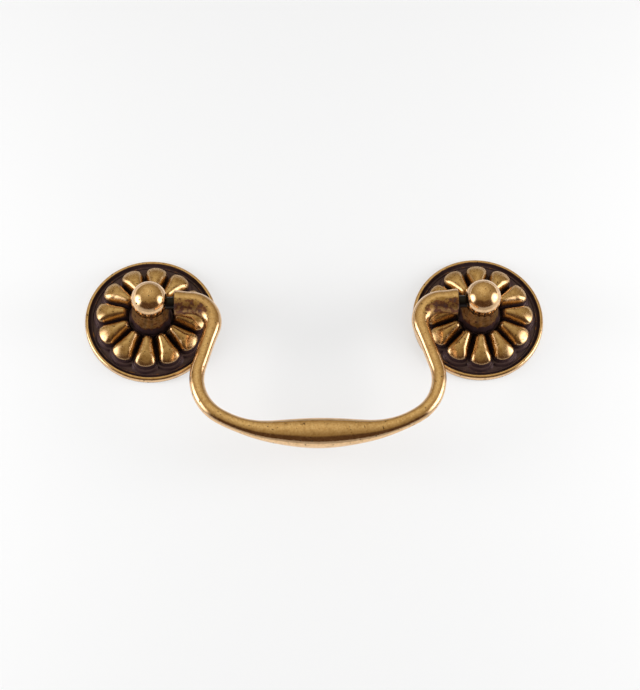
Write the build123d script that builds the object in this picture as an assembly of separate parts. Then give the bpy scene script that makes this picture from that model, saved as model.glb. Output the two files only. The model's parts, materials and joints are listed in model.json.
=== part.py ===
from build123d import *
from math import cos, pi, radians, sin, sqrt, tan
import os

# Swinging bail pull for a cabinet door or drawer front, in millimetres. The drawer front is the
# plane Y = 0 and the pull faces -Y. X runs along the two posts and Z points up. The origin lies
# midway between the two posts, on the drawer front.

# Two fixing holes, a standard pair for handles.
hole_spacing = 96.0
thread_radius = 1.65
thread_depth = 9.0

# Rosette: a cast disc with a rounded rim, a sunk floor, a scalloped pad and twelve raised petals.
disc_radius = 19.3
floor_height = 0.9
rim_width = 1.3
rim_height = 1.9
rim_outer_round = 0.8
pad_height = 1.9
pad_step = 0.65
petal_count = 12
petal_gap = 1.15
petal_tip_gap = 1.75
petal_end_radius = 5.0
petal_corner_round = 1.7
petal_draft = 12.0
petal_tip_draft = 3.0
petal_crest_radius = 8.5
petal_crest_height = 7.0
petal_outer_height = 4.85
petal_root_radius = 6.17
petal_root_height = 3.6
petal_root_round = 3.6
petal_end_round = 1.5
petal_end_margin = 0.3
petal_inner_arch = 1.4
petal_outer_arch = 5.0
petal_arch_angle = 70.0
petal_arch_drop = 0.1
hub_radius = 6.3
hub_height = 4.0
left_turn = -6.0
right_turn = -0.5

# Post: one turned piece with a ball head, a narrow neck, a flared foot and a tenon behind it.
tenon_radius = 4.0
tenon_clearance = 0.05
foot_radius = 6.1
foot_edge = 0.8
flare_hollow_radius = 18.0
neck_radius = 4.65
ball_radius = 5.2
ball_height = 15.5
pivot_below_ball = 2.5
flare_below_pivot = 1.0
pivot_hole_depth = 1.6

# Bail: one cast piece, round all along, with a pin turned on each end. It hangs in a plane parallel
# to the drawer front. Its half outline runs from the end face by the post to the middle of the grip.
pin_radius = 1.8
pin_clearance = 0.06
pin_end_play = 0.3
end_gap = 7.0
end_diameter = 7.5
end_edge_round = 0.5
arm_diameter = 6.5
rod_diameter = 4.25
grip_diameter = 8.55
arm_length = 4.5
bend_radius = 6.65
rod_lean = 17.5
rod_length = 11.8
corner_radius = 13.25
corner_end_slope = 31.0
shoulder_radius = 34.5
grip_end_slope = 4.5
grip_swell = 26.0
section_step = 2.4

post_x = hole_spacing / 2
pivot_height = ball_height - pivot_below_ball
rim_inner_radius = disc_radius - rim_width
petal_tip_radius = rim_inner_radius - petal_tip_gap
petal_end_limit = petal_tip_radius + petal_end_margin
petal_shoulder_radius = petal_end_limit - petal_end_round


def hang(shape):
    """Turns a piece that lies on its back, with Z out of the drawer front, into place."""
    return Rot(90, 0, 0) * shape


def turned(points_and_arcs):
    """Revolves an outline in the XZ plane about the Z axis."""
    return revolve(Plane.XZ * make_face(points_and_arcs), Axis.Z)


def petal_outline(growth, tip_growth):
    """The plan of one petal that points along X, grown at its sides and tip: a wedge with a round end."""
    half_pitch = pi / petal_count
    root_x = (petal_gap / 2 - growth) / sin(half_pitch)
    end_radius = petal_end_radius + growth
    tip_x = petal_tip_radius + tip_growth
    centre_x = tip_x - end_radius
    along_side = (centre_x - root_x) * cos(half_pitch)
    off_side = (centre_x - root_x) * sin(half_pitch)
    side_length = along_side + sqrt(end_radius**2 - off_side**2)
    corner_x = root_x + side_length * cos(half_pitch)
    corner_y = side_length * sin(half_pitch)
    edges = Polyline((corner_x, -corner_y), (root_x, 0), (corner_x, corner_y))
    edges += ThreePointArc((corner_x, corner_y), (tip_x, 0), (corner_x, -corner_y))
    plan = make_face(edges)
    return fillet(plan.vertices().sort_by(Axis.X)[-2:], petal_corner_round + growth)


def crest_height(from_axis):
    """The height of a petal's crest line, which falls evenly towards the rim."""
    run = petal_shoulder_radius - petal_crest_radius
    fall = petal_crest_height - petal_outer_height
    return petal_crest_height - fall / run * (from_axis - petal_crest_radius)


def arch_section(from_axis, arch_radius):
    """An upright face across a petal, with an arched top just under the crest line."""
    top = crest_height(from_axis) - petal_arch_drop
    half_width = arch_radius * sin(radians(petal_arch_angle))
    spring = top - arch_radius * (1 - cos(radians(petal_arch_angle)))
    edges = Polyline(
        (half_width, spring),
        (half_width, -pad_height),
        (-half_width, -pad_height),
        (-half_width, spring),
    )
    edges += ThreePointArc((-half_width, spring), (0, top), (half_width, spring))
    return Plane(origin=(from_axis, 0, 0), x_dir=(0, 1, 0), z_dir=(1, 0, 0)) * make_face(edges)


def petal():
    """One petal that points along X: a drafted wall under an arched crest that falls to its tip."""
    draft = tan(radians(petal_draft))
    tip_draft = tan(radians(petal_tip_draft))
    rise = petal_crest_height - pad_height
    foot = petal_outline(pad_height * draft, pad_height * tip_draft)
    top = petal_outline(-rise * draft, -rise * tip_draft)
    wall = loft([foot, Pos(0, 0, petal_crest_height) * top])
    shoulder = (petal_shoulder_radius, petal_outer_height)
    end = (petal_end_limit, petal_outer_height - petal_end_round)
    crest = (petal_crest_radius, petal_crest_height)
    root = (petal_root_radius, petal_root_height)
    side = Polyline(shoulder, crest)
    side += RadiusArc(crest, root, -petal_root_round)
    side += Polyline(root, (0, petal_root_height), (0, 0), (petal_end_limit, 0), end)
    side += RadiusArc(end, shoulder, -petal_end_round)
    inner_arch = arch_section(hub_radius, petal_inner_arch)
    outer_arch = arch_section(rim_inner_radius, petal_outer_arch)
    return wall & turned(side) & loft([inner_arch, outer_arch], ruled=True)


def rosette(turn):
    """A rosette on its back, turned by an angle about its own axis."""
    rim_inner_round = rim_width - rim_outer_round
    rim_outline = Polyline(
        (disc_radius, rim_height - rim_outer_round),
        (disc_radius, 0),
        (0, 0),
        (0, floor_height),
        (rim_inner_radius, floor_height),
        (rim_inner_radius, rim_height - rim_inner_round),
    )
    crest = (disc_radius - rim_outer_round, rim_height)
    rim_outline += RadiusArc(rim_outline @ 1, crest, rim_inner_round)
    rim_outline += RadiusArc(crest, (disc_radius, rim_height - rim_outer_round), rim_outer_round)
    disc = turned(rim_outline)
    around = PolarLocations(0, petal_count)
    disc += [place * extrude(petal_outline(pad_step, pad_step), pad_height) for place in around]
    disc += [place * petal() for place in around]
    disc += extrude(Circle(hub_radius), hub_height)
    disc -= extrude(Circle(tenon_radius + tenon_clearance), hub_height)
    return Rot(0, 0, turn) * disc


def post(side):
    """A post on its back. Its cross hole opens towards the bail, on the side away from side * X."""
    foot_top = hub_height + foot_edge
    neck_bottom = pivot_height - flare_below_pivot
    neck_top = ball_height - sqrt(ball_radius**2 - neck_radius**2)
    outline = Line((neck_radius, neck_top), (neck_radius, neck_bottom))
    outline += RadiusArc((neck_radius, neck_bottom), (foot_radius, foot_top), -flare_hollow_radius)
    outline += Polyline(
        (foot_radius, foot_top),
        (foot_radius, hub_height),
        (tenon_radius, hub_height),
        (tenon_radius, 0),
        (0, 0),
        (0, ball_height + ball_radius),
    )
    outline += ThreePointArc(
        (0, ball_height + ball_radius),
        (ball_radius, ball_height),
        (neck_radius, neck_top),
    )
    body = turned(outline)
    body -= extrude(Circle(thread_radius), thread_depth)
    bore_length = foot_radius + pivot_hole_depth
    bore = extrude(Circle(pin_radius + pin_clearance), bore_length)
    bore = Pos(side * pivot_hole_depth, 0, pivot_height) * Rot(0, -90 * side, 0) * bore
    return Pos(side * post_x, 0, 0) * (body - bore)


def bail_path():
    """The right half of the bail's centre line, from its end face to the middle of the grip."""
    end_x = post_x - end_gap
    arm = Line((end_x, 0), (end_x - arm_length, 0))
    bend = JernArc(arm @ 1, arm % 1, bend_radius, 90 + rod_lean)
    rod = Line(bend @ 1, bend @ 1 + (bend % 1) * rod_length)
    corner = JernArc(rod @ 1, rod % 1, corner_radius, corner_end_slope - 90 - rod_lean)
    shoulder = JernArc(corner @ 1, corner % 1, shoulder_radius, grip_end_slope - corner_end_slope)
    grip_radius = (shoulder @ 1).X / sin(radians(grip_end_slope))
    grip = JernArc(shoulder @ 1, shoulder % 1, grip_radius, -grip_end_slope)
    return Wire([arm, bend, rod, corner, shoulder, grip])


def ease(share):
    """A smooth step from 0 to 1 over a share from 0 to 1."""
    return (1 - cos(pi * min(max(share, 0), 1))) / 2


def bail_diameter(from_end, half_length):
    """The bail's thickness at a distance along its centre line from the end face."""
    taper_length = arm_length + radians(90 + rod_lean) * bend_radius + rod_length / 2
    flare = (end_diameter - arm_diameter) * (1 - ease(from_end / arm_length))
    taper = (arm_diameter - rod_diameter) * (1 - ease((from_end - arm_length) / (taper_length - arm_length)))
    swell = (grip_diameter - rod_diameter) * ease(1 - (half_length - from_end) / grip_swell)
    return rod_diameter + flare + taper + swell


def bail_section(path, share, side):
    """The round section at a share of the way along one half, facing along the whole bail."""
    at = path @ share
    along = path % share
    plane = Plane(origin=(side * at.X, at.Y), z_dir=(along.X, side * along.Y), x_dir=(0, 0, 1))
    return plane * Circle(bail_diameter(share * path.length, path.length) / 2)


def bail():
    """The bail on its back, hanging down the drawer front."""
    path = bail_path()
    steps = round(path.length / section_step)
    right = [bail_section(path, step / steps, 1) for step in range(steps + 1)]
    left = [bail_section(path, step / steps, -1) for step in range(steps)]
    body = loft(right + left[::-1])
    faces = body.faces().sort_by(Axis.X)
    body = fillet(faces[0].edges() + faces[-1].edges(), end_edge_round)
    pin_length = end_gap + pivot_hole_depth - pin_end_play
    pin = extrude(Circle(pin_radius), pin_length)
    for side in (-1, 1):
        body += Pos(side * (post_x - end_gap), 0, 0) * Rot(0, 90 * side, 0) * pin
    return Pos(0, 0, pivot_height) * body


pieces = {
    "left_rosette": Pos(-post_x, 0, 0) * rosette(left_turn),
    "right_rosette": Pos(post_x, 0, 0) * rosette(right_turn),
    "left_post": post(-1),
    "right_post": post(1),
    "bail": bail(),
}

os.makedirs("parts", exist_ok=True)
for name, piece in pieces.items():
    export_step(hang(piece), f"parts/{name}.step")
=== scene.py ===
import json
import math

import bmesh
import bpy
import numpy as np
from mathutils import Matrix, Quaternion, Vector


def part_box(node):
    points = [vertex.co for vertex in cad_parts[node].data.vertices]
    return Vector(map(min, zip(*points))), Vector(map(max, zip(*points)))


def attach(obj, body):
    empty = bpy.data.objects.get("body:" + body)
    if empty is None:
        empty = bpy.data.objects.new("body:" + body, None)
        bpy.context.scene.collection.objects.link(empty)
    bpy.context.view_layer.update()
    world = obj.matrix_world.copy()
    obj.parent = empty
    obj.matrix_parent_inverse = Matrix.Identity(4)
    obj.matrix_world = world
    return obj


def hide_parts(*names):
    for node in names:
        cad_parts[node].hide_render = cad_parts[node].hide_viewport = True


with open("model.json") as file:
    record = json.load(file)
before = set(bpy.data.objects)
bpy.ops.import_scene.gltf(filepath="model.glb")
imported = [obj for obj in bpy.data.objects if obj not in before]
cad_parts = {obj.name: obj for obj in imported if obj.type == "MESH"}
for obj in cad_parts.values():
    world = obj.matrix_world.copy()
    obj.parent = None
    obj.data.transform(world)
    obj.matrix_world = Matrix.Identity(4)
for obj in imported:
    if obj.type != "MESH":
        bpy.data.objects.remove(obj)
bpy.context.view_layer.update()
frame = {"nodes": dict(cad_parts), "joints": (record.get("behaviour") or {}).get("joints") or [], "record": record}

# A swinging bail pull of cast and turned brass, darkened and then rubbed bright where a hand or a
# polishing wheel reaches. The shapes below are in millimetres, each piece lying on its back with
# Z out of the drawer front. They become metres when hang() puts them in place.
MM = 0.001

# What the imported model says.
mount = next(m for m in frame["record"]["mounts"] if m["name"] == "fixing_holes")
post_x = mount["dims"]["spacing_x_mm"] / 2
screw_radius = mount["dims"]["hole_r_mm"]
pivot_height = -frame["joints"][0]["pos_m"][1] / MM
rosette_low, rosette_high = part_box("left_rosette")
post_low, post_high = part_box("left_post")
disc_radius = (rosette_high.x - rosette_low.x) / 2 / MM
petal_top = -rosette_low.y / MM
foot_radius = (post_high.x - post_low.x) / 2 / MM
ball_top = -post_low.y / MM

# Rosette: a cast dish with twelve petals on a scalloped pad.
floor_height = 0.9
floor_radius = 16.95
rim_crest_radius = 18.5
rim_height = 1.9
rim_cove = [(17.75, 0.95), (17.95, 1.25), (18.12, 1.6), (18.28, 1.82)]
rim_side_height = 0.5
back_edge = 0.08
bead_radius = 17.25
bead_height = 1.2
pad_height = 1.9
pad_step = 0.65
pad_fall = 0.17
petal_count = 12
petal_gap = 0.2
petal_root_gap = 0.1
petal_gap_full = 0.8
petal_tip_radius = 16.1
petal_end_radius = 4.4
petal_corner_round = 2.3
petal_spine_end = 11.8
petal_spring = 2.6
petal_tip_spring = 3.7
crest_drop = 0.05
crest_start = 8.5
crest_fall = 0.1
crest_bend = 0.021
root_fall = 3.7
root_reach = 8.4
least_rise = 0.2
side_flank = 0.2
tip_flank = 0.12
most_flank = 0.75
side_arch_power = 2.05
tip_arch_power = 2.1
form_round = 0.3
hub_radius = 6.3
hub_height = 4.0
tenon_radius = 4.0
tenon_clearance = 0.05
rosette_turn = {"left": -6.0, "right": -0.5}

# Post: a turned ball on a neck that flares into a foot, with a tenon through the rosette.
ball_radius = 5.2
ball_height = ball_top - ball_radius
neck_radius = 4.65
foot_edge = 0.8
foot_edge_round = 0.12
flare_height = 7.2
flare_hollow_radius = 18.0
screw_depth = 9.0
screw_chamfer = 0.3
pin_hole_radius = 1.86
pin_hole_depth = 1.6

# Bail: a round bar that swells at the grip and flares at its ends, with a pin on each end.
pin_radius = 1.8
pin_chamfer = 0.2
pin_reach = 8.3
end_gap = 7.0
end_diameter = 7.5
end_edge_round = 0.5
edge_clear = 0.1
arm_diameter = 6.5
rod_diameter = 4.25
grip_diameter = 8.55
arm_length = 4.5
bend_radius = 6.65
rod_lean = 17.5
rod_length = 11.8
corner_radius = 13.25
corner_end_slope = 31.0
shoulder_radius = 34.5
grip_end_slope = 4.5
grip_swell = 26.0

# How far the pieces are rubbed bright, and where shade is painted on the bail. Each pair is where the rub or the
# painted shade begins and where it is full.
petal_rub = 0.9
petal_rub_slope = (0.12, 0.38)
petal_rub_height = (2.8, 3.6)
petal_rub_radius = (6.5, 7.4)
rim_rub_radius = (18.1, 18.5)
rim_rub_height = (-0.01, 0.06)
bead_rub = 0.32
bead_rub_height = (1.05, 1.2)
bead_rub_reach = 0.3
neck_rub = 0.81
neck_rub_height = (5.4, 7.6)
ball_rub_height = (11.5, 13.4)
bore_edge_radius = 2.2
# Over this pair the bail goes from black painted shade on its end faces and pins to full rub.
bail_end_shade_to_rub = (0.02, 0.25)
# Painted shade under each arm of the bail and inside its bend near the post: it lowers the rub there, so tarnish
# colour and patina show.
arm_painted_shade = 0.4
arm_shade_side = (-0.15, 0.3)
arm_shade_below = (-6.0, -3.0)
arm_shade_run = (13.0, 10.0)

# How finely the meshes are divided, and how near two points are to be one.
side_rows, corner_rows, end_rows = 26, 16, 14
arch_steps, wall_steps, round_steps = 20, 6, 12
pad_shares = np.array([0.1, 0.22, 0.4, 0.65, 0.85, 1.0])
bead_steps, crown_steps = 8, 12
flare_steps, ball_steps, edge_steps = 24, 72, 6
post_segments, drill_segments, bail_segments = 192, 64, 96
bail_step = 0.42
ring_weld = 0.0005
rosette_weld = 0.002


def hang(points):
    """Millimetres in a piece that lies on its back, to metres on the drawer front."""
    points = np.asarray(points, float)
    return np.stack([points[:, 0], -points[:, 2], points[:, 1]], 1) * MM


def smooth_step(value, low, high):
    """0 before low, 1 after high and an even S between them."""
    share = np.clip((np.asarray(value, float) - low) / (high - low), 0, 1)
    return share * share * (3 - 2 * share)


def add_mesh(name, points, faces, weld, crease):
    """A mesh object in the row frame, welded, closed at its back where it is open, shaded smooth."""
    mesh = bpy.data.meshes.new(name)
    mesh.from_pydata(hang(points).tolist(), [], faces)
    form = bmesh.new()
    form.from_mesh(mesh)
    bmesh.ops.remove_doubles(form, verts=form.verts, dist=weld * MM)
    rims = [edge for edge in form.edges if edge.is_boundary]
    if rims:
        filled = bmesh.ops.triangle_fill(form, edges=rims, use_beauty=True)["geom"]
        back = [face for face in filled if isinstance(face, bmesh.types.BMFace)]
        for face in back:
            face.normal_update()
        bmesh.ops.reverse_faces(form, faces=[face for face in back if face.normal.y < 0])
    else:
        bmesh.ops.recalc_face_normals(form, faces=form.faces)
    form.to_mesh(mesh)
    form.free()
    mesh.shade_smooth()
    mesh.set_sharp_from_angle(angle=math.radians(crease))
    piece = bpy.data.objects.new(name, mesh)
    bpy.context.scene.collection.objects.link(piece)
    return piece


def paint_rub_and_shade(piece, rub_and_shade_at):
    """Stores how far each point is rubbed bright, with painted shade below 0: -1 for black painted shade, 0 for
    patina, 1 for clean brass.
    """
    mesh = piece.data
    places = np.zeros(len(mesh.vertices) * 3)
    mesh.vertices.foreach_get("co", places)
    places = places.reshape(-1, 3) / MM
    on_its_back = np.stack([places[:, 0], places[:, 2], -places[:, 1]], 1)
    facing = np.zeros(len(mesh.vertices) * 3)
    mesh.vertices.foreach_get("normal", facing)
    upright = -facing.reshape(-1, 3)[:, 1]
    rub_and_shade = mesh.attributes.new("rub_and_shade", "FLOAT", "POINT")
    rub_and_shade.data.foreach_set("value", np.clip(rub_and_shade_at(on_its_back, upright), -1, 1).astype(np.float32))


def grid_faces(rows, columns, start, turned_over):
    """Quads between neighbouring rows and columns of a grid of points."""
    first = start + np.arange((rows - 1) * columns).reshape(rows - 1, columns)[:, :-1].ravel()
    quads = np.stack([first, first + 1, first + columns + 1, first + columns], 1)
    return (quads[:, ::-1] if turned_over else quads).tolist()


def ring_mesh(name, rings, segments, crease=40):
    """A closed skin through round rings, each a centre, a direction and a radius."""
    angles = np.arange(segments) * 2 * math.pi / segments
    points = []
    for centre, along, radius in rings:
        side = np.cross(along, (0.0, 0, 1) if abs(along[2]) < 0.9 else (0.0, 1, 0))
        side /= np.linalg.norm(side)
        up = np.cross(side, along)
        circle = np.outer(np.cos(angles), side) + np.outer(np.sin(angles), up)
        points.append(np.asarray(centre) + radius * circle)
    faces = []
    for ring in range(len(rings) - 1):
        for segment in range(segments):
            after = (segment + 1) % segments
            near, far = ring * segments, (ring + 1) * segments
            faces.append((near + segment, near + after, far + after, far + segment))
    return add_mesh(name, np.vstack(points), faces, ring_weld, crease)


def arc(centre, radius, start, end, steps):
    """Points on an arc in a profile, with its angles in degrees."""
    angles = np.radians(np.linspace(start, end, steps + 1))
    return [(centre[0] + radius * math.cos(a), centre[1] + radius * math.sin(a)) for a in angles]


# Rosette. Half of one petal's sector is a grid whose rows run from the petal's spine over its
# arched top, down its flank and over the pad to the line between two petals or to the rim.
def petal_rows():
    """For each row: its points on the spine and at the petal's foot, its outer end, and how far the
    row has turned from the petal's side, 0, to its tip, 1."""
    half_pitch = math.pi / petal_count
    along = np.array([math.cos(half_pitch), math.sin(half_pitch)])
    inward = np.array([math.sin(half_pitch), -math.cos(half_pitch)])
    inset = petal_gap / 2
    end_centre = np.array([petal_tip_radius - petal_end_radius, 0])
    to_corner = (inset + petal_corner_round) * inward - end_centre
    lean = along @ to_corner
    reach = to_corner @ to_corner - (petal_end_radius - petal_corner_round) ** 2
    corner_distance = -lean + math.sqrt(lean**2 - reach)
    corner = corner_distance * along + (inset + petal_corner_round) * inward
    end_angle = math.atan2(corner[1], corner[0] - end_centre[0])
    feet, ends, tipward = [], [], []
    root_distance = math.sqrt(hub_radius**2 - inset**2)
    for distance in np.linspace(root_distance, corner_distance, side_rows + 1):
        spread = smooth_step(distance, hub_radius, petal_gap_full * corner_distance)
        half_gap = petal_root_gap / 2 * (1 - spread) + inset * spread
        feet.append(distance * along + half_gap * inward)
        ends.append(distance * along)
        tipward.append(0)
    for share in np.linspace(0, 1, corner_rows + 1)[1:]:
        angle = (math.pi / 2 + half_pitch) * (1 - share) + end_angle * share
        feet.append(corner + petal_corner_round * np.array([math.cos(angle), math.sin(angle)]))
        ends.append((corner_distance + (floor_radius - corner_distance) * share) * along)
        tipward.append(share)
    for share in np.linspace(0, 1, end_rows + 1)[1:]:
        angle = end_angle * (1 - share)
        rim_angle = half_pitch * (1 - share)
        feet.append(end_centre + petal_end_radius * np.array([math.cos(angle), math.sin(angle)]))
        ends.append(floor_radius * np.array([math.cos(rim_angle), math.sin(rim_angle)]))
        tipward.append(1)
    feet = np.array(feet)
    spine = np.stack([np.minimum(feet[:, 0], petal_spine_end), np.zeros(len(feet))], 1)
    return spine, feet, np.array(ends), np.array(tipward)


def crest_height(from_axis):
    """The height of a petal's crest line, which falls slowly to the tip and quickly to the hub."""
    root = np.maximum(root_reach - from_axis, 0) / (root_reach - hub_radius)
    beyond = from_axis - crest_start
    fall = crest_drop + crest_fall * beyond + crest_bend * beyond**2
    return petal_top - fall - root_fall * root**3


def rounded(path, reach):
    """A path in plan and height, with its corners rounded over a reach and its ends kept."""
    steps = np.linalg.norm(np.diff(path, axis=0), axis=1)
    along = np.concatenate([[0], np.cumsum(steps)])
    window = np.minimum(np.minimum(along, along[-1] - along), reach)
    smooth = np.zeros_like(path)
    shares = np.linspace(-1, 1, round_steps + 1)
    for share in shares:
        at = along + window * share
        smooth += np.stack([np.interp(at, along, path[:, axis]) for axis in range(3)], 1)
    return smooth / len(shares)


def petal_row(spine, foot, end, tipward):
    """One row of points from the spine over the top, the flank, the pad and the floor."""
    length = np.linalg.norm(foot - spine)
    outward = (foot - spine) / length
    turned = smooth_step(tipward, 0, 1)
    flank = min(side_flank + (tip_flank - side_flank) * turned, most_flank * length)
    power = side_arch_power + (tip_arch_power - side_arch_power) * turned
    spring = petal_spring + (petal_tip_spring - petal_spring) * turned
    turns = np.linspace(math.pi / 2, 0, arch_steps + 1)
    top = spine + outward * (length - flank) * (np.cos(turns) ** (2 / power))[:, None]
    rise = np.maximum(crest_height(np.hypot(top[:, 0], top[:, 1])) - spring, least_rise)
    top = np.hstack([top, (spring + rise * np.sin(turns) ** (2 / power))[:, None]])
    shares = (1 - np.cos(np.linspace(0, math.pi, wall_steps + 1)[1:])) / 2
    below = np.hstack([foot, pad_height])
    wall = top[-1] + (below - top[-1]) * shares[:, None]
    beyond = np.linalg.norm(end - foot)
    away = (end - foot) / beyond
    # Where a petal's tip comes near the rim, the pad is narrower, so that it still falls to the floor.
    step = pad_step if tipward < 1 else min(pad_step, beyond - 1.1 * pad_fall)
    reaches = np.append(pad_shares * step, step + pad_fall)
    distances = np.minimum(reaches, beyond)
    last = distances[-1]
    distances = np.append(distances, [0.7 * last + 0.3 * beyond, (last + beyond) / 2, beyond])
    fallen = np.clip((distances - step) / pad_fall, 0, 1)
    heights = pad_height - (pad_height - floor_height) * fallen
    around = np.hstack([foot + away * distances[:, None], heights[:, None]])
    return rounded(np.vstack([top, wall, around]), form_round)


def rim_profile():
    """Radius and height from the floor's edge over the fine bead and the rim to the back."""
    bead_half = bead_radius - floor_radius
    bead_rise = bead_height - floor_height
    turns = np.linspace(0, math.pi, bead_steps + 1)
    bead = [(bead_radius - bead_half * math.cos(t), floor_height + bead_rise * math.sin(t)) for t in turns]
    outer_round = disc_radius - rim_crest_radius
    crown = arc((rim_crest_radius, rim_height - outer_round), outer_round, 90, 0, crown_steps)
    side = [(disc_radius, rim_side_height), (disc_radius, back_edge), (disc_radius - back_edge, 0)]
    return bead + rim_cove + crown + side


def rosette(side):
    """One rosette, with the rub that a polishing wheel leaves on its crests and rim."""
    spine, feet, ends, tipward = petal_rows()
    sector = np.stack([petal_row(*row) for row in zip(spine, feet, ends, tipward)])
    root = sector[0, :, :2]
    sector[0, :, :2] = root * hub_radius / np.linalg.norm(root, axis=1)[:, None]
    angles = np.arctan2(ends[-end_rows - 1:, 1], ends[-end_rows - 1:, 0])
    profile = np.array(rim_profile())
    rim = np.zeros((len(angles), len(profile), 3))
    rim[:, :, 0] = np.cos(angles)[:, None] * profile[:, 0]
    rim[:, :, 1] = np.sin(angles)[:, None] * profile[:, 0]
    rim[:, :, 2] = profile[:, 1]
    bore_radius = tenon_radius + tenon_clearance
    root = sector[0]
    hub = [root]
    for radius, height in ((hub_radius, hub_height), (bore_radius, hub_height), (bore_radius, 0)):
        flat = root[:, :2] * radius / hub_radius
        hub.append(np.hstack([flat, np.full((len(root), 1), float(height))]))
    points, faces, count = [], [], 0
    for petal in range(petal_count):
        turn = math.radians(rosette_turn[side] + 360 / petal_count * petal)
        for mirror in (1, -1):
            for patch, over in ((sector, mirror), (rim, mirror), (np.stack(hub), -mirror)):
                flat = patch.reshape(-1, 3) * (1, mirror, 1)
                x = flat[:, 0] * math.cos(turn) - flat[:, 1] * math.sin(turn)
                y = flat[:, 0] * math.sin(turn) + flat[:, 1] * math.cos(turn)
                points.append(np.stack([x, y, flat[:, 2]], 1))
                faces += grid_faces(patch.shape[0], patch.shape[1], count, over > 0)
                count += len(flat)
    at = -post_x if side == "left" else post_x
    placed = np.vstack(points) + (at, 0, 0)
    piece = add_mesh(f"{side}_rosette_casting", placed, faces, rosette_weld, crease=60)

    def rub_and_shade_at(places, upright):
        from_axis = np.hypot(places[:, 0] - at, places[:, 1])
        height = places[:, 2]
        crest = smooth_step(upright, *petal_rub_slope) * smooth_step(height, *petal_rub_height)
        crest *= petal_rub * smooth_step(from_axis, *petal_rub_radius)
        rim_top = smooth_step(from_axis, *rim_rub_radius) * smooth_step(height, *rim_rub_height)
        bead_top = bead_rub * smooth_step(height, *bead_rub_height)
        bead_top *= abs(from_axis - bead_radius) < bead_rub_reach
        return np.maximum.reduce([crest, rim_top, bead_top])

    paint_rub_and_shade(piece, rub_and_shade_at)
    return piece


# Post. A profile turned about the post's axis, with a hole drilled across its neck.
def post_profile():
    """Radius and height from the bottom of the screw hole round the tenon and foot to the ball."""
    foot_top = hub_height + foot_edge
    neck_bottom = foot_top + flare_height
    neck_top = ball_height - math.sqrt(ball_radius**2 - neck_radius**2)
    chord = Vector((foot_radius - neck_radius, foot_top - neck_bottom))
    middle = Vector((neck_radius + foot_radius, neck_bottom + foot_top)) / 2
    out = Vector((-chord.y, chord.x)).normalized()
    centre = middle + out * math.sqrt(flare_hollow_radius**2 - (chord.length / 2) ** 2)
    start = math.degrees(math.atan2(foot_top - centre.y, foot_radius - centre.x)) % 360
    end = math.degrees(math.atan2(neck_bottom - centre.y, neck_radius - centre.x)) % 360
    flare = arc(centre, flare_hollow_radius, start, end, flare_steps)
    ball_start = math.degrees(math.atan2(neck_top - ball_height, neck_radius))
    ball = arc((0, ball_height), ball_radius, ball_start, 90, ball_steps)
    return (
        [(0, screw_depth), (screw_radius, screw_depth)]
        + [(screw_radius, screw_chamfer), (screw_radius + screw_chamfer, 0)]
        + [(tenon_radius, 0), (tenon_radius, hub_height), (foot_radius - foot_edge_round, hub_height)]
        + [(foot_radius, hub_height + foot_edge_round), (foot_radius, foot_top - foot_edge_round / 2)]
        + flare
        + [(neck_radius, (neck_bottom + neck_top) / 2)]
        + ball
    )


def post(side):
    """One post, turned, then cross-drilled for the bail's pin."""
    sign = -1 if side == "left" else 1
    at = sign * post_x
    rings = [((at, 0, height), (0, 0, 1), radius) for radius, height in post_profile()]
    piece = ring_mesh(f"{side}_post_turning", rings, post_segments)
    inner = at + sign * pin_hole_depth
    outer = at - sign * foot_radius
    drill_profile = ((inner, 0), (inner, pin_hole_radius), (outer, pin_hole_radius), (outer, 0))
    drill_rings = [((x, 0, pivot_height), (1, 0, 0), radius) for x, radius in drill_profile]
    drill = ring_mesh("drill", drill_rings, drill_segments)
    cut = piece.modifiers.new("cross_hole", "BOOLEAN")
    cut.operation = "DIFFERENCE"
    cut.solver = "EXACT"
    cut.object = drill
    bpy.context.view_layer.update()
    depsgraph = bpy.context.evaluated_depsgraph_get()
    drilled = bpy.data.meshes.new_from_object(piece.evaluated_get(depsgraph))
    piece.modifiers.clear()
    piece.data = drilled
    bpy.data.objects.remove(drill)

    def rub_and_shade_at(places, upright):
        from_axis = np.hypot(places[:, 0] - at, places[:, 1])
        height = places[:, 2]
        neck = neck_rub * smooth_step(height, *neck_rub_height)
        ball = (1 - neck_rub) * smooth_step(height, *ball_rub_height)
        outside = (from_axis > bore_edge_radius) | (height > ball_height)
        return (neck + ball) * outside

    paint_rub_and_shade(piece, rub_and_shade_at)
    return piece


# Bail. Round sections along a centre line of straight runs and arcs, the same on both sides.
def bail_line(step):
    """The right half of the centre line from its end face: places, headings and distances."""
    place = np.array([post_x - end_gap, 0.0])
    heading = 180.0
    places, headings, distances = [place], [heading], [0.0]
    bend = 90 + rod_lean
    corner = bend - corner_end_slope
    shoulder = corner_end_slope - grip_end_slope
    runs = [
        (arm_length, 0),
        (math.radians(bend) * bend_radius, bend),
        (rod_length, 0),
        (math.radians(corner) * corner_radius, -corner),
        (math.radians(shoulder) * shoulder_radius, -shoulder),
        (None, -grip_end_slope),
    ]
    for length, turn in runs:
        if length is None:
            grip_slope = math.radians(grip_end_slope)
            length = grip_slope * places[-1][0] / math.sin(grip_slope)
        steps = math.ceil(length / step)
        for _ in range(steps):
            middle = math.radians(heading + turn / steps / 2)
            chord = length / steps
            if turn:
                half_turn = math.radians(abs(turn) / steps / 2)
                chord *= math.sin(half_turn) / half_turn
            place = place + chord * np.array([math.cos(middle), math.sin(middle)])
            heading += turn / steps
            places.append(place)
            headings.append(heading)
            distances.append(distances[-1] + length / steps)
    return np.array(places), np.array(headings), np.array(distances)


def ease(share):
    """Half a cosine wave from 0 to 1."""
    return (1 - np.cos(math.pi * np.clip(share, 0, 1))) / 2


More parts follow.
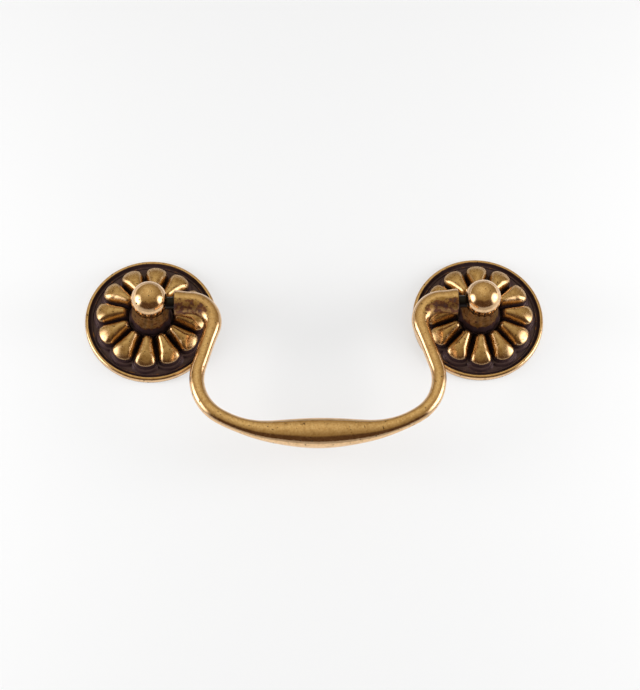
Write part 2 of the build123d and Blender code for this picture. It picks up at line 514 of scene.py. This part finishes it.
def bail_diameters(from_end):
    """The bar's thickness along half of its centre line."""
    taper_length = math.radians(90 + rod_lean) * bend_radius + rod_length / 2
    flare = (end_diameter - arm_diameter) * (1 - ease(from_end / arm_length))
    taper = (arm_diameter - rod_diameter) * (1 - ease((from_end - arm_length) / taper_length))
    swell = (grip_diameter - rod_diameter) * ease(1 - (from_end[-1] - from_end) / grip_swell)
    return rod_diameter + flare + taper + swell


def bail():
    """The bail, one skin from the tip of its left pin to the tip of its right pin."""
    places, headings, distances = bail_line(bail_step)
    diameters = bail_diameters(distances)
    end_x = post_x - end_gap
    tip_x = end_x + pin_reach
    end_radius = diameters[0] / 2
    profile = [(tip_x, 0), (tip_x, pin_radius - pin_chamfer), (tip_x - pin_chamfer, pin_radius)]
    profile.append((end_x, pin_radius))
    for turn in np.radians(np.linspace(0, 90, edge_steps + 1)):
        inset = end_edge_round * (1 - math.cos(turn))
        profile.append((end_x - inset, end_radius - end_edge_round * (1 - math.sin(turn))))
    right = [((x, 0, pivot_height), (-1, 0, 0), radius) for x, radius in profile]
    beyond_edge = distances > end_edge_round + edge_clear
    bar = zip(places[beyond_edge], np.radians(headings[beyond_edge]), diameters[beyond_edge])
    for place, heading, diameter in bar:
        along = (math.cos(heading), math.sin(heading), 0)
        right.append(((place[0], place[1], pivot_height), along, diameter / 2))
    left = [((-c[0], c[1], c[2]), (a[0], -a[1], 0), r) for c, a, r in right[-2::-1]]
    piece = ring_mesh("bail_casting", right + left, bail_segments, crease=35)

    def rub_and_shade_at(places, upright):
        from_end = end_x - abs(places[:, 0])
        past_arm = np.maximum(from_end - arm_length, 0)
        from_centre = np.hypot(past_arm, places[:, 1] + bend_radius)
        on_arm = from_end < arm_length
        inward = np.where(on_arm, -places[:, 1], bend_radius - from_centre) / (arm_diameter / 2)
        # Mask of the painted shade under the arm and inside its bend, near the post.
        arm_shade = smooth_step(inward, *arm_shade_side) * smooth_step(places[:, 1], *arm_shade_below)
        arm_shade *= smooth_step(from_end, *arm_shade_run)
        # End faces and pins get -1, black painted shade; under the arm the rub is lowered by painted shade.
        return 2 * smooth_step(from_end, *bail_end_shade_to_rub) - 1 - arm_painted_shade * arm_shade

    paint_rub_and_shade(piece, rub_and_shade_at)
    return piece


# Finish.
ramp = ("ShaderNodeMapRange", {"interpolation_type": "SMOOTHSTEP"})
blend = ("ShaderNodeMix", {"data_type": "RGBA"})
level_blend = ("ShaderNodeMix", {"data_type": "FLOAT"})
add = ("ShaderNodeMath", {"operation": "ADD"})
subtract = ("ShaderNodeMath", {"operation": "SUBTRACT"})
multiply = ("ShaderNodeMath", {"operation": "MULTIPLY"})
absolute = ("ShaderNodeMath", {"operation": "ABSOLUTE"})
greater = ("ShaderNodeMath", {"operation": "MAXIMUM"})


def linear(code):
    """An sRGB hex colour as linear red, green, blue and alpha."""
    values = [int(code[i:i + 2], 16) / 255 for i in (1, 3, 5)]
    return [v / 12.92 if v <= 0.04045 else ((v + 0.055) / 1.055) ** 2.4 for v in values] + [1]


def add_node(tree, kind, settings, inputs=(), output=None):
    """Adds a node with its settings. Its inputs are values or other nodes' outputs, by name or in
    the order of the sockets in use. Gives the output that is named, or else the first one in use."""
    node = tree.nodes.new(kind)
    for name, value in settings.items():
        setattr(node, name, value)
    if isinstance(inputs, dict):
        fed = [(node.inputs[name], value) for name, value in inputs.items()]
    else:
        fed = zip([socket for socket in node.inputs if socket.enabled], inputs)
    for socket, value in fed:
        if isinstance(value, bpy.types.NodeSocket):
            tree.links.new(value, socket)
        else:
            socket.default_value = value
    if output:
        return node.outputs[output]
    return next((socket for socket in node.outputs if socket.enabled), None)


def per_mm(size):
    """A texture scale that gives features of a size in millimetres, in object coordinates."""
    return 1 / (size * MM)


# The sizes of the brass's patterns in millimetres, each with its detail: the slow waves of a cast
# skin, stains, a fine mottle and casting pores, drawn coarser than real ones so that they show.
brass_patterns = [(5.0, 1), (1.6, 3), (0.5, 2), (0.75, 1)]
brass_pattern_roughness = 0.6
brass_relief = 0.06 * MM
clean_brass = ("#E8BF8E", "#F7D3A8")
aged_brass = ("#DDBB8A", "#B48E58")
stained_brass = "#B08450"
# Tarnish colour, which also serves as painted shade under the bail's arms.
tarnish_and_painted_shade = "#8B5F48"
pore_dirt = "#4A2E1C"
purple_patina = ("#3A2A2D", "#553E3F")
# Black painted shade for the bail's pins and end faces, in the narrow gap at each post.
painted_shade_black = "#120C0C"
patina_metallic = 0.45
patina_roughness = 0.3
dull_roughness = 0.42
gloss_roughness = 0.1
mottle_roughness = 0.1
mottle_relief = 0.05
pore_relief = 0.15

# The part of each pattern, 0 to 1, over which what it draws fades in.
ragged_range = (0.3, 0.7)
mottle_range = (0.3, 0.7)
pore_range = (0.69, 0.74)
yellow_range = (0.42, 0.68)
stain_range = (0.45, 0.75)
stain_strength = 0.4

# Shares of the rub at which each finish begins and is full; below 0 it is black painted shade.
# Over this range the black painted shade on the bail's pins and end faces fades to patina.
painted_shade_to_patina = (-0.6, -0.1)
patina_to_brass = (0.34, 0.54)
tarnish_and_shade_to_aged = (0.56, 0.74)
aged_to_clean = (0.8, 1.0)
dull_to_gloss = (0.72, 1.0)
ragged_edge = 0.22


def antique_brass():
    """Cast yellow brass, darkened all over and rubbed back: a bright, slightly wavy metal on the
    high places, and a smooth skin of purple-brown oxide in the low ones that still mirrors. Where the rub is below
    0 it paints black shade on the bail's pins and end faces, and its tarnish colour also serves as painted shade
    under the bail's arms."""
    material = bpy.data.materials.new("antique_brass_finish")
    material.use_nodes = True
    tree = material.node_tree
    tree.nodes.clear()
    place = add_node(tree, "ShaderNodeTexCoord", {}, output="Object")
    # The rub attribute also carries painted shade: below 0 on the bail's pins and ends, lowered under its arms.
    rub_and_shade = add_node(tree, "ShaderNodeAttribute", {"attribute_name": "rub_and_shade"}, output="Fac")
    patterns = []
    for size, detail in brass_patterns:
        inputs = {"Vector": place, "Scale": per_mm(size), "Detail": detail}
        inputs["Roughness"] = brass_pattern_roughness
        patterns.append(add_node(tree, "ShaderNodeTexNoise", {}, inputs))
    waves, stains, mottle, pores = patterns

    wavering = add_node(tree, *ramp, [stains, *ragged_range, -ragged_edge, ragged_edge])
    ragged = add_node(tree, *add, [rub_and_shade, wavering])
    bare = add_node(tree, *ramp, [ragged, *patina_to_brass])
    pitted = add_node(tree, *ramp, [pores, *pore_range])
    fine = add_node(tree, *ramp, [mottle, *mottle_range])
    clean = add_node(tree, *blend, [fine, *map(linear, clean_brass)])
    yellowed = add_node(tree, *ramp, [stains, *yellow_range])
    aged = add_node(tree, *blend, [yellowed, *map(linear, aged_brass)])
    tone = add_node(tree, *blend, [add_node(tree, *ramp, [rub_and_shade, *aged_to_clean]), aged, clean])
    rubbed = add_node(tree, *ramp, [ragged, *tarnish_and_shade_to_aged])
    # Tarnish colour, which is also the painted shade under the bail's arms.
    tone = add_node(tree, *blend, [rubbed, linear(tarnish_and_painted_shade), tone])
    stained = add_node(tree, *ramp, [stains, *stain_range, 0.0, stain_strength])
    warm = add_node(tree, *blend, [stained, tone, linear(stained_brass)])
    brass = add_node(tree, *blend, [pitted, warm, linear(pore_dirt)])
    patina = add_node(tree, *blend, [stains, *map(linear, purple_patina)])
    # Painted shade: black where the rub is below 0, on the bail's pins and end faces.
    shade_painted = add_node(tree, *ramp, [rub_and_shade, *painted_shade_to_patina])
    patina = add_node(tree, *blend, [shade_painted, linear(painted_shade_black), patina])
    colour = add_node(tree, *blend, [bare, patina, brass])

    polish = add_node(tree, *ramp, [rub_and_shade, *dull_to_gloss, dull_roughness, gloss_roughness])
    uneven = add_node(tree, *ramp, [mottle, *mottle_range, 0.0, mottle_roughness])
    gloss = add_node(tree, *add, [uneven, polish])
    roughness = add_node(tree, *level_blend, [bare, patina_roughness, gloss])
    metallic = add_node(tree, *ramp, [bare, 0.0, 1.0, patina_metallic, 1.0])
    relief = add_node(tree, *add, [waves, add_node(tree, *multiply, [mottle, mottle_relief])])
    relief = add_node(tree, *subtract, [relief, add_node(tree, *multiply, [pitted, pore_relief])])
    inputs = {"Strength": 1.0, "Distance": brass_relief, "Height": relief}
    skin = add_node(tree, "ShaderNodeBump", {}, inputs)
    inputs = {"Base Color": colour, "Metallic": metallic, "Roughness": roughness, "Normal": skin}
    shader = add_node(tree, "ShaderNodeBsdfPrincipled", {}, inputs)
    add_node(tree, "ShaderNodeOutputMaterial", {}, [shader])
    return material


brass = antique_brass()
for node in frame["nodes"].values():
    node.data.materials.clear()
    node.data.materials.append(brass)

made = {
    "left_rosette": rosette("left"),
    "right_rosette": rosette("right"),
    "left_post": post("left"),
    "right_post": post("right"),
    "bail": bail(),
}
for node_name, piece in made.items():
    piece.data.materials.clear()
    piece.data.materials.append(brass)
    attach(piece, "bail" if node_name == "bail" else "mounting")
    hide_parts(node_name)


# Studio, in metres: a white board behind the pull, soft boxes low at its sides and a dim room.
board_half_width = 0.6
board_hole_steps = 96
board_setback = 0.0002
board_hole_radius = (disc_radius - 0.6) * MM
board_white = "#FFFFFF"
board_matt = "#EDEDED"
# Colour of the painted reflection of the dim room, which the card shows to the brass at low angles.
board_painted_reflection = "#5D4B3C"
board_glow = 0.5
board_low_angle = (0.53, 0.64)
board_beside = (0.07, 0.12)
board_level = (-0.06, -0.04)

# Each lamp's place, width, height and brightness, and whether the brass mirrors it.
lamps = {
    "soft_box_left": ((-0.40, -0.075, -0.06), 0.50, 0.44, 3.4, True),
    "soft_box_right": ((0.40, -0.09, -0.06), 0.50, 0.44, 3.4, True),
    "shadow_lamp_left": ((-0.34, -0.12, -0.01), 0.26, 0.26, 9.5, False),
    "shadow_lamp_right": ((0.34, -0.12, -0.01), 0.26, 0.26, 9.5, False),
}
lamp_middle = (0.5, 0.5, 0)
lamp_fade = (0.12, 0.5)

# The room that the brass mirrors, in linear light, and the white that matt things and the camera see.
room_front = Vector((-0.1, -0.88, 0.46)).normalized()
room_focus = 3.0
room_dim = (0.28, 0.21, 0.10, 1)
room_bright = (0.70, 0.62, 0.38, 1)
room_floor = (0.095, 0.055, 0.03, 1)
room_floor_level = (-0.87, -0.68)
room_floor_rise = -0.4
sky_white = 0.56
backdrop_white = 0.926

camera_place = Vector((-21.69, -515.43, -242.18)) * MM
camera_target = Vector((1.05, -6.0, -10.36)) * MM
camera_roll = math.radians(-1.417)
camera_lens = 101.02


def board_material():
    """White card, seen nearly plain white with a soft shadow. Mirrored in the brass at a low
    angle, it shows a painted reflection of the dim room above and below, which stands in for a satin sheen. From
    behind it's clear."""
    material = bpy.data.materials.new("white_card")
    material.use_nodes = True
    tree = material.node_tree
    tree.nodes.clear()
    path = add_node(tree, "ShaderNodeLightPath", {}).node.outputs
    surface = add_node(tree, "ShaderNodeNewGeometry", {}).node.outputs
    slant = add_node(tree, "ShaderNodeLayerWeight", {}, {"Blend": 0.5}, output="Facing")
    grazing = add_node(tree, *ramp, [slant, *board_low_angle])
    spot = add_node(tree, "ShaderNodeSeparateXYZ", {}, [surface["Position"]]).node.outputs
    beside = add_node(tree, *ramp, [add_node(tree, *absolute, [spot["X"]]), *board_beside])
    level = add_node(tree, *ramp, [spot["Z"], *board_level])
    past_pull = add_node(tree, *multiply, [beside, level])
    # Painted reflection of the dim room, seen only in the brass. Beside and below the pull it is left out, so the
    # card stays white there for the soft boxes.
    painted_reflection = add_node(tree, *multiply, [grazing, add_node(tree, *subtract, [1.0, past_pull])])
    painted_reflection = add_node(tree, *multiply, [painted_reflection, path["Is Glossy Ray"]])
    colour = add_node(tree, *blend, [painted_reflection, linear(board_white), linear(board_painted_reflection)])
    matt = add_node(tree, "ShaderNodeBsdfDiffuse", {}, {"Color": linear(board_matt)})
    white = add_node(tree, "ShaderNodeEmission", {}, {"Color": colour, "Strength": 1.0})
    shown = add_node(tree, "ShaderNodeMixShader", {}, [board_glow, matt, white])
    seen = add_node(tree, *greater, [path["Is Camera Ray"], path["Is Glossy Ray"]])
    seen = add_node(tree, *greater, [seen, path["Is Transmission Ray"]])
    front = add_node(tree, "ShaderNodeMixShader", {}, [seen, matt, shown])
    clear = add_node(tree, "ShaderNodeBsdfTransparent", {})
    both = add_node(tree, "ShaderNodeMixShader", {}, [surface["Backfacing"], front, clear])
    add_node(tree, "ShaderNodeOutputMaterial", {}, [both])
    return material


def add_board():
    """The board, with a hole behind each rosette so that its back can be seen."""
    form = bmesh.new()
    edges = []
    edge = board_half_width
    loops = [[(-edge, -edge), (edge, -edge), (edge, edge), (-edge, edge)]]
    for centre in (-post_x * MM, post_x * MM):
        loops.append(arc((centre, 0), board_hole_radius, 0, 360, board_hole_steps)[:-1])
    for loop in loops:
        verts = [form.verts.new((x, board_setback, z)) for x, z in loop]
        edges += [form.edges.new((verts[i], verts[i - 1])) for i in range(len(verts))]
    bmesh.ops.triangle_fill(form, edges=edges, use_beauty=True, normal=(0, -1, 0))
    for face in form.faces:
        face.normal_update()
        if face.normal.y > 0:
            face.normal_flip()
    mesh = bpy.data.meshes.new("board")
    form.to_mesh(mesh)
    form.free()
    board = bpy.data.objects.new("board", mesh)
    board.data.materials.append(board_material())
    bpy.context.scene.collection.objects.link(board)


def add_lamp(name, place, width, height, radiance, mirrored):
    """A lamp that faces the pull, brightest in its middle, mirrored in the brass or not."""
    lamp = bpy.data.lights.new(name, "AREA")
    lamp.use_nodes = True
    tree = lamp.node_tree
    tree.nodes.clear()
    spot = add_node(tree, "ShaderNodeNewGeometry", {}, output="Parametric")
    off_centre = add_node(tree, "ShaderNodeVectorMath", {"operation": "DISTANCE"}, [spot, lamp_middle])
    fade = add_node(tree, *ramp, [off_centre, *lamp_fade, 1.0, 0.0])
    glow = add_node(tree, "ShaderNodeEmission", {}, {"Strength": fade})
    add_node(tree, "ShaderNodeOutputLight", {}, [glow])
    lamp.shape = "RECTANGLE"
    lamp.size = width
    lamp.size_y = height
    lamp.energy = radiance * math.pi * width * height
    box = bpy.data.objects.new(name, lamp)
    box.location = place
    box.rotation_euler = Vector(place).to_track_quat("Z", "Y").to_euler()
    box.visible_camera = False
    box.visible_glossy = mirrored
    bpy.context.scene.collection.objects.link(box)


def add_world():
    """A dim, warm room: brightest in front and above, nearly dark below the camera. Matt things
    are lit by a plain white sky."""
    world = bpy.data.worlds.new("room")
    world.use_nodes = True
    tree = world.node_tree
    tree.nodes.clear()
    path = add_node(tree, "ShaderNodeLightPath", {}).node.outputs
    towards = add_node(tree, "ShaderNodeTexCoord", {}, output="Generated")
    split = add_node(tree, "ShaderNodeSeparateXYZ", {}, [towards]).node.outputs
    facing = add_node(tree, "ShaderNodeVectorMath", {"operation": "DOT_PRODUCT"}, [towards, room_front])
    facing = add_node(tree, *greater, [facing, 0.0])
    glow = add_node(tree, "ShaderNodeMath", {"operation": "POWER"}, [facing, room_focus])
    room = add_node(tree, *blend, [glow, room_dim, room_bright])
    sideways = add_node(tree, *absolute, [split["X"]])
    sloped = [sideways, room_floor_rise, split["Z"]]
    level = add_node(tree, "ShaderNodeMath", {"operation": "MULTIPLY_ADD"}, sloped)
    low = add_node(tree, *ramp, [level, *room_floor_level, 1.0, 0.0])
    room = add_node(tree, *blend, [low, room, room_floor])
    mirrored = add_node(tree, "ShaderNodeBackground", {}, [room, 1.0])
    sky = add_node(tree, "ShaderNodeBackground", {}, [(1, 1, 1, 1), sky_white])
    lit_by = add_node(tree, "ShaderNodeMixShader", {}, [path["Is Diffuse Ray"], mirrored, sky])
    backdrop = add_node(tree, "ShaderNodeBackground", {}, [(1, 1, 1, 1), backdrop_white])
    shown = add_node(tree, "ShaderNodeMixShader", {}, [path["Is Camera Ray"], lit_by, backdrop])
    add_node(tree, "ShaderNodeOutputWorld", {}, [shown])
    bpy.context.scene.world = world


def add_camera():
    """The photograph's view: from the front and well below, with a long lens."""
    lens = bpy.data.cameras.new("camera")
    lens.lens = camera_lens
    lens.clip_start = 0.01
    camera = bpy.data.objects.new("camera", lens)
    camera.rotation_mode = "QUATERNION"
    camera.location = camera_place
    towards = (camera_place - camera_target).to_track_quat("Z", "Y")
    camera.rotation_quaternion = towards @ Quaternion((0, 0, 1), camera_roll)
    bpy.context.scene.collection.objects.link(camera)
    bpy.context.scene.camera = camera


add_board()
for lamp_name, lamp_values in lamps.items():
    add_lamp(lamp_name, *lamp_values)
add_world()
add_camera()
bpy.context.scene.view_settings.view_transform = "Standard"
